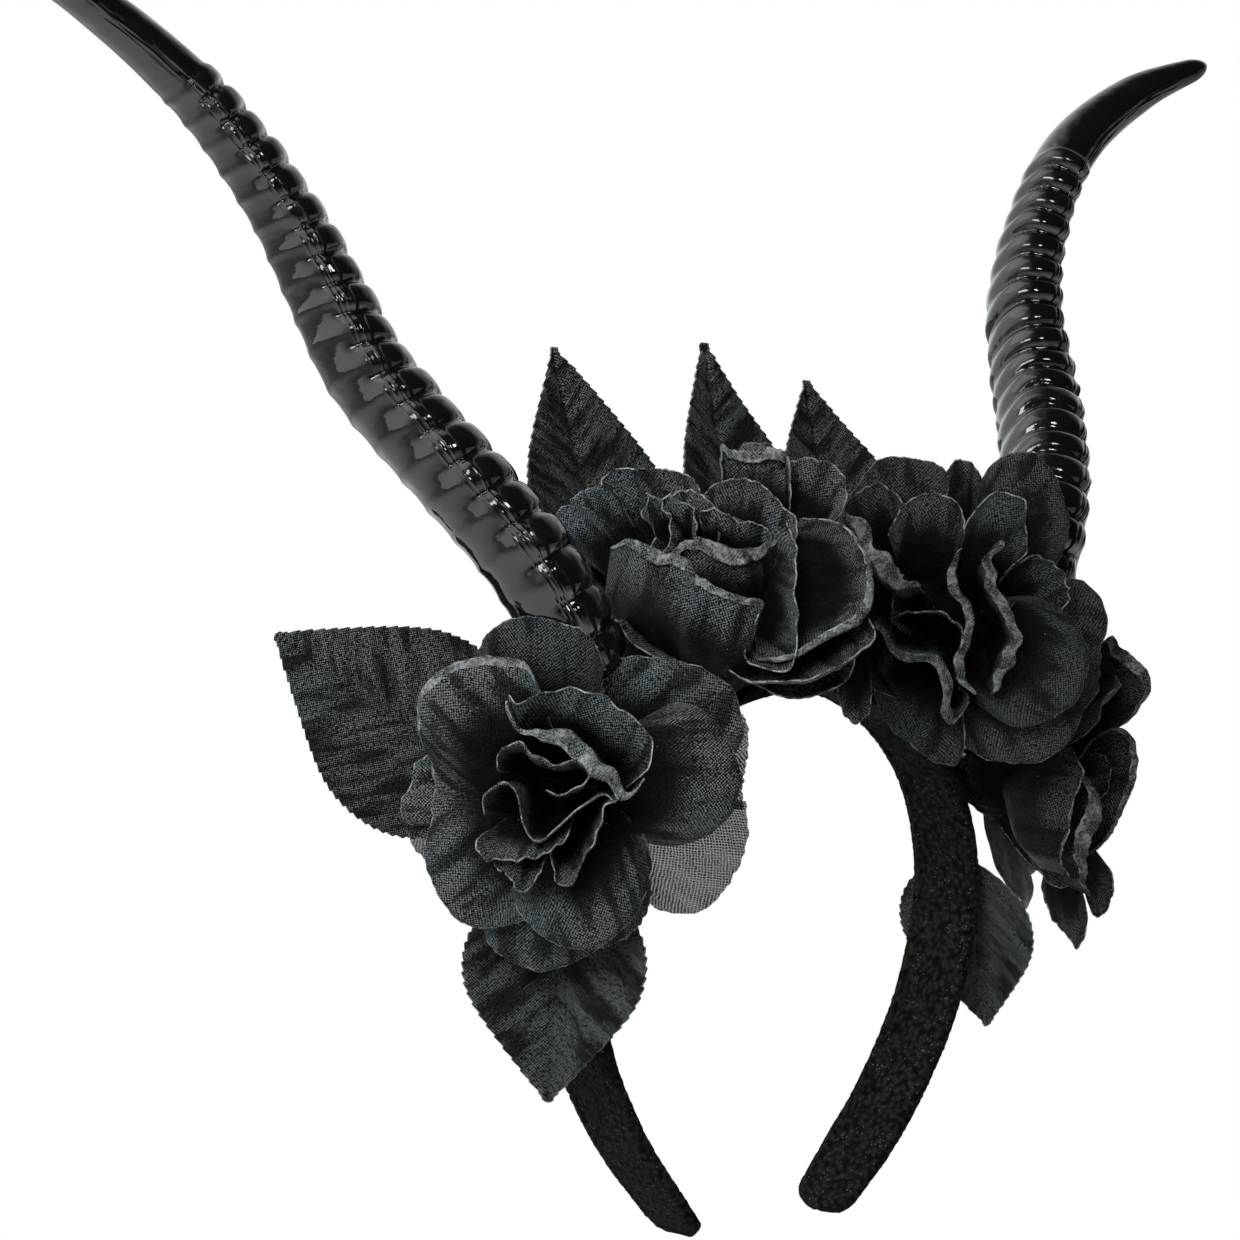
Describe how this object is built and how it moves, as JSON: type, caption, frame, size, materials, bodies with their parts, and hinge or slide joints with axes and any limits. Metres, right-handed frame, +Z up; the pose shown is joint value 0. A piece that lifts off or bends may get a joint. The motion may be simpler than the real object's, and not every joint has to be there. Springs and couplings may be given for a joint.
{
  "type": "horned tiara",
  "caption": "Felt-covered headband with ringed antelope-style horns, cloth roses and saw-edged cloth leaves, worn on the head and resting on its two ends.",
  "frame": {"origin": "on the floor under the two ends of the band, at the middle of the whole object's width and depth", "axes": "+Z up, -Y to the wearer's front, +X to the wearer's left"},
  "size_m": [0.4556, 0.1226, 0.3525],
  "materials": {
    "band_felt": "matte felt",
    "horn_plastic": "high gloss",
    "petal_cloth": "satin weave",
    "leaf_cloth": "stiffened weave with pressed veins",
    "calyx_cloth": "matte"
  },
  "bodies": {
    "root": {"headband": "band_felt", "horn_left": "horn_plastic", "horn_right": "horn_plastic", "rose_a_calyx": "calyx_cloth", "rose_a_outer": "petal_cloth", "rose_a_middle": "petal_cloth", "rose_a_heart": "petal_cloth", "rose_b_calyx": "calyx_cloth", "rose_b_outer": "petal_cloth", "rose_b_middle": "petal_cloth", "rose_b_heart": "petal_cloth", "rose_c_calyx": "calyx_cloth", "rose_c_outer": "petal_cloth", "rose_c_middle": "petal_cloth", "rose_c_heart": "petal_cloth", "rose_d_calyx": "calyx_cloth", "rose_d_outer": "petal_cloth", "rose_d_middle": "petal_cloth", "rose_d_heart": "petal_cloth", "leaf_left": "leaf_cloth", "leaf_below": "leaf_cloth", "leaf_top_left": "leaf_cloth", "leaf_top_middle": "leaf_cloth", "leaf_top_right": "leaf_cloth", "leaf_right": "leaf_cloth"}
  },
  "joints": []
}
